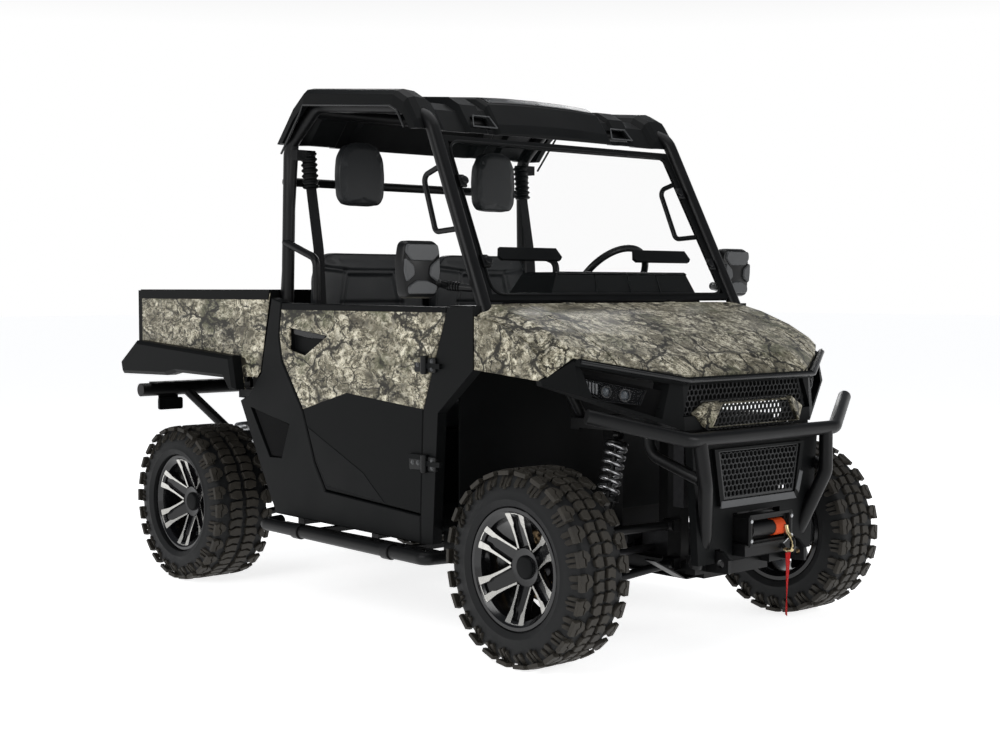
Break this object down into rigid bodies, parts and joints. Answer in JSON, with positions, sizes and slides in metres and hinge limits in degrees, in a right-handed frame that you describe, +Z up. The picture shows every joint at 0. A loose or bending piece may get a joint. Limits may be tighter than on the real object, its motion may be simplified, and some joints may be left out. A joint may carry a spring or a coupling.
{
  "type": "side by side utility vehicle",
  "caption": "Open-sided off-road utility vehicle with a roll cage, hard roof, bench cab, tilting cargo bed, block-tread wheels and a front winch.",
  "frame": {"origin": "on the floor below the middle of the overall length, on the centre line", "axes": "front faces -Y, +X is the left side of the vehicle, +Z up"},
  "size_m": [1.836, 3.1659, 2.016],
  "materials": {
    "tyre": "block tread rubber",
    "rim": "gloss black with machined faces",
    "black_steel": "satin powder coat",
    "black_plastic": "fine grain",
    "camouflage": "satin with a mottled pattern",
    "bright_metal": "plain",
    "cast": "as cast",
    "lamp": "clear",
    "screen": "clear",
    "vinyl": "grained vinyl",
    "webbing": "woven",
    "red_strap": "woven",
    "tail_lamp": "red"
  },
  "bodies": {
    "chassis": {"arch_panels": "black_plastic", "axle_towers": "black_steel", "cab_floor": "black_plastic", "cross_members": "black_steel", "dashboard": "black_plastic", "drive_shafts": "bright_metal", "engine": "cast", "exhaust": "bright_metal", "fender_panels": "camouflage", "frame": "black_steel", "front_arms": "black_steel", "front_bumper": "black_steel", "front_fascia": "black_plastic", "front_shield": "black_plastic", "grille_mesh": "black_plastic", "headlamps": "lamp", "headrests": "vinyl", "mirrors": "black_plastic", "radiator": "cast", "rear_arms": "black_steel", "rear_bumper": "black_steel", "roll_cage": "black_steel", "roof": "black_plastic", "scoop_frame": "camouflage", "seat_backs": "vinyl", "seat_belts": "webbing", "seat_cushions": "vinyl", "shocks": "bright_metal", "side_panels": "black_plastic", "side_steps": "black_steel", "skid_plate": "bright_metal", "steering_rack": "black_steel", "tail_lamps": "tail_lamp", "winch": "black_steel", "winch_strap": "red_strap", "windshield_frame": "black_plastic", "windshield_glass": "screen"},
    "knuckle_left": {"knuckle_left": "black_steel"},
    "knuckle_right": {"knuckle_right": "black_steel"},
    "tie_rods": {"tie_rods": "black_steel"},
    "steering_wheel": {"steering_wheel": "black_plastic"},
    "door_left": {"door_left": "camouflage"},
    "door_right": {"door_right": "camouflage"},
    "bonnet": {"bonnet": "camouflage"},
    "cargo_bed": {"cargo_bed": "camouflage"},
    "tailgate": {"tailgate": "camouflage"},
    "wheel_front_left": {"tyre_front_left": "tyre", "rim_front_left": "rim"},
    "wheel_front_right": {"tyre_front_right": "tyre", "rim_front_right": "rim"},
    "wheel_rear_left": {"tyre_rear_left": "tyre", "rim_rear_left": "rim"},
    "wheel_rear_right": {"tyre_rear_right": "tyre", "rim_rear_right": "rim"}
  },
  "joints": [
    {"name": "steering", "type": "hinge", "parent": "chassis", "child": "steering_wheel", "pos_m": [0.36, -0.439, 1.262], "axis": [0, 0.7986, 0.6018], "range_deg": [-270, 270]},
    {"name": "kingpin_left", "type": "hinge", "parent": "chassis", "child": "knuckle_left", "pos_m": [0.6, -1.103, 0.328], "axis": [0, 0, 1], "range_deg": [-30, 30]},
    {"name": "kingpin_right", "type": "hinge", "parent": "chassis", "child": "knuckle_right", "pos_m": [-0.6, -1.103, 0.328], "axis": [0, 0, 1], "range_deg": [-30, 30]},
    {"name": "tie_rod_slide", "type": "slide", "parent": "chassis", "child": "tie_rods", "axis": [1, 0, 0], "range_m": [-0.05, 0.05]},
    {"name": "spin_front_left", "type": "hinge", "parent": "knuckle_left", "child": "wheel_front_left", "pos_m": [0.68, -1.103, 0.328], "axis": [1, 0, 0], "continuous": true},
    {"name": "spin_front_right", "type": "hinge", "parent": "knuckle_right", "child": "wheel_front_right", "pos_m": [-0.68, -1.103, 0.328], "axis": [1, 0, 0], "continuous": true},
    {"name": "spin_rear_left", "type": "hinge", "parent": "chassis", "child": "wheel_rear_left", "pos_m": [0.638, 1.024, 0.328], "axis": [1, 0, 0], "continuous": true},
    {"name": "spin_rear_right", "type": "hinge", "parent": "chassis", "child": "wheel_rear_right", "pos_m": [-0.638, 1.024, 0.328], "axis": [1, 0, 0], "continuous": true},
    {"name": "door_left_hinge", "type": "hinge", "parent": "chassis", "child": "door_left", "pos_m": [0.735, -0.593, 0.7], "axis": [0, 0, -1], "range_deg": [0, 70]},
    {"name": "door_right_hinge", "type": "hinge", "parent": "chassis", "child": "door_right", "pos_m": [-0.735, -0.593, 0.7], "axis": [0, 0, 1], "range_deg": [0, 70]},
    {"name": "bonnet_hinge", "type": "hinge", "parent": "chassis", "child": "bonnet", "pos_m": [0, -0.839, 1.184], "axis": [-1, 0, 0], "range_deg": [0, 50]},
    {"name": "bed_tilt", "type": "hinge", "parent": "chassis", "child": "cargo_bed", "pos_m": [0, 1.277, 0.835], "axis": [-1, 0, 0], "range_deg": [0, 40]},
    {"name": "tailgate_hinge", "type": "hinge", "parent": "cargo_bed", "child": "tailgate", "pos_m": [0, 1.405, 0.889], "axis": [1, 0, 0], "range_deg": [-90, 0]}
  ],
  "couplings": [
    {"joint": "kingpin_left", "follows": "steering", "ratio": 0.11111},
    {"joint": "kingpin_right", "follows": "steering", "ratio": 0.11111},
    {"joint": "tie_rod_slide", "follows": "steering", "m_per_rad": -0.01008}
  ]
}
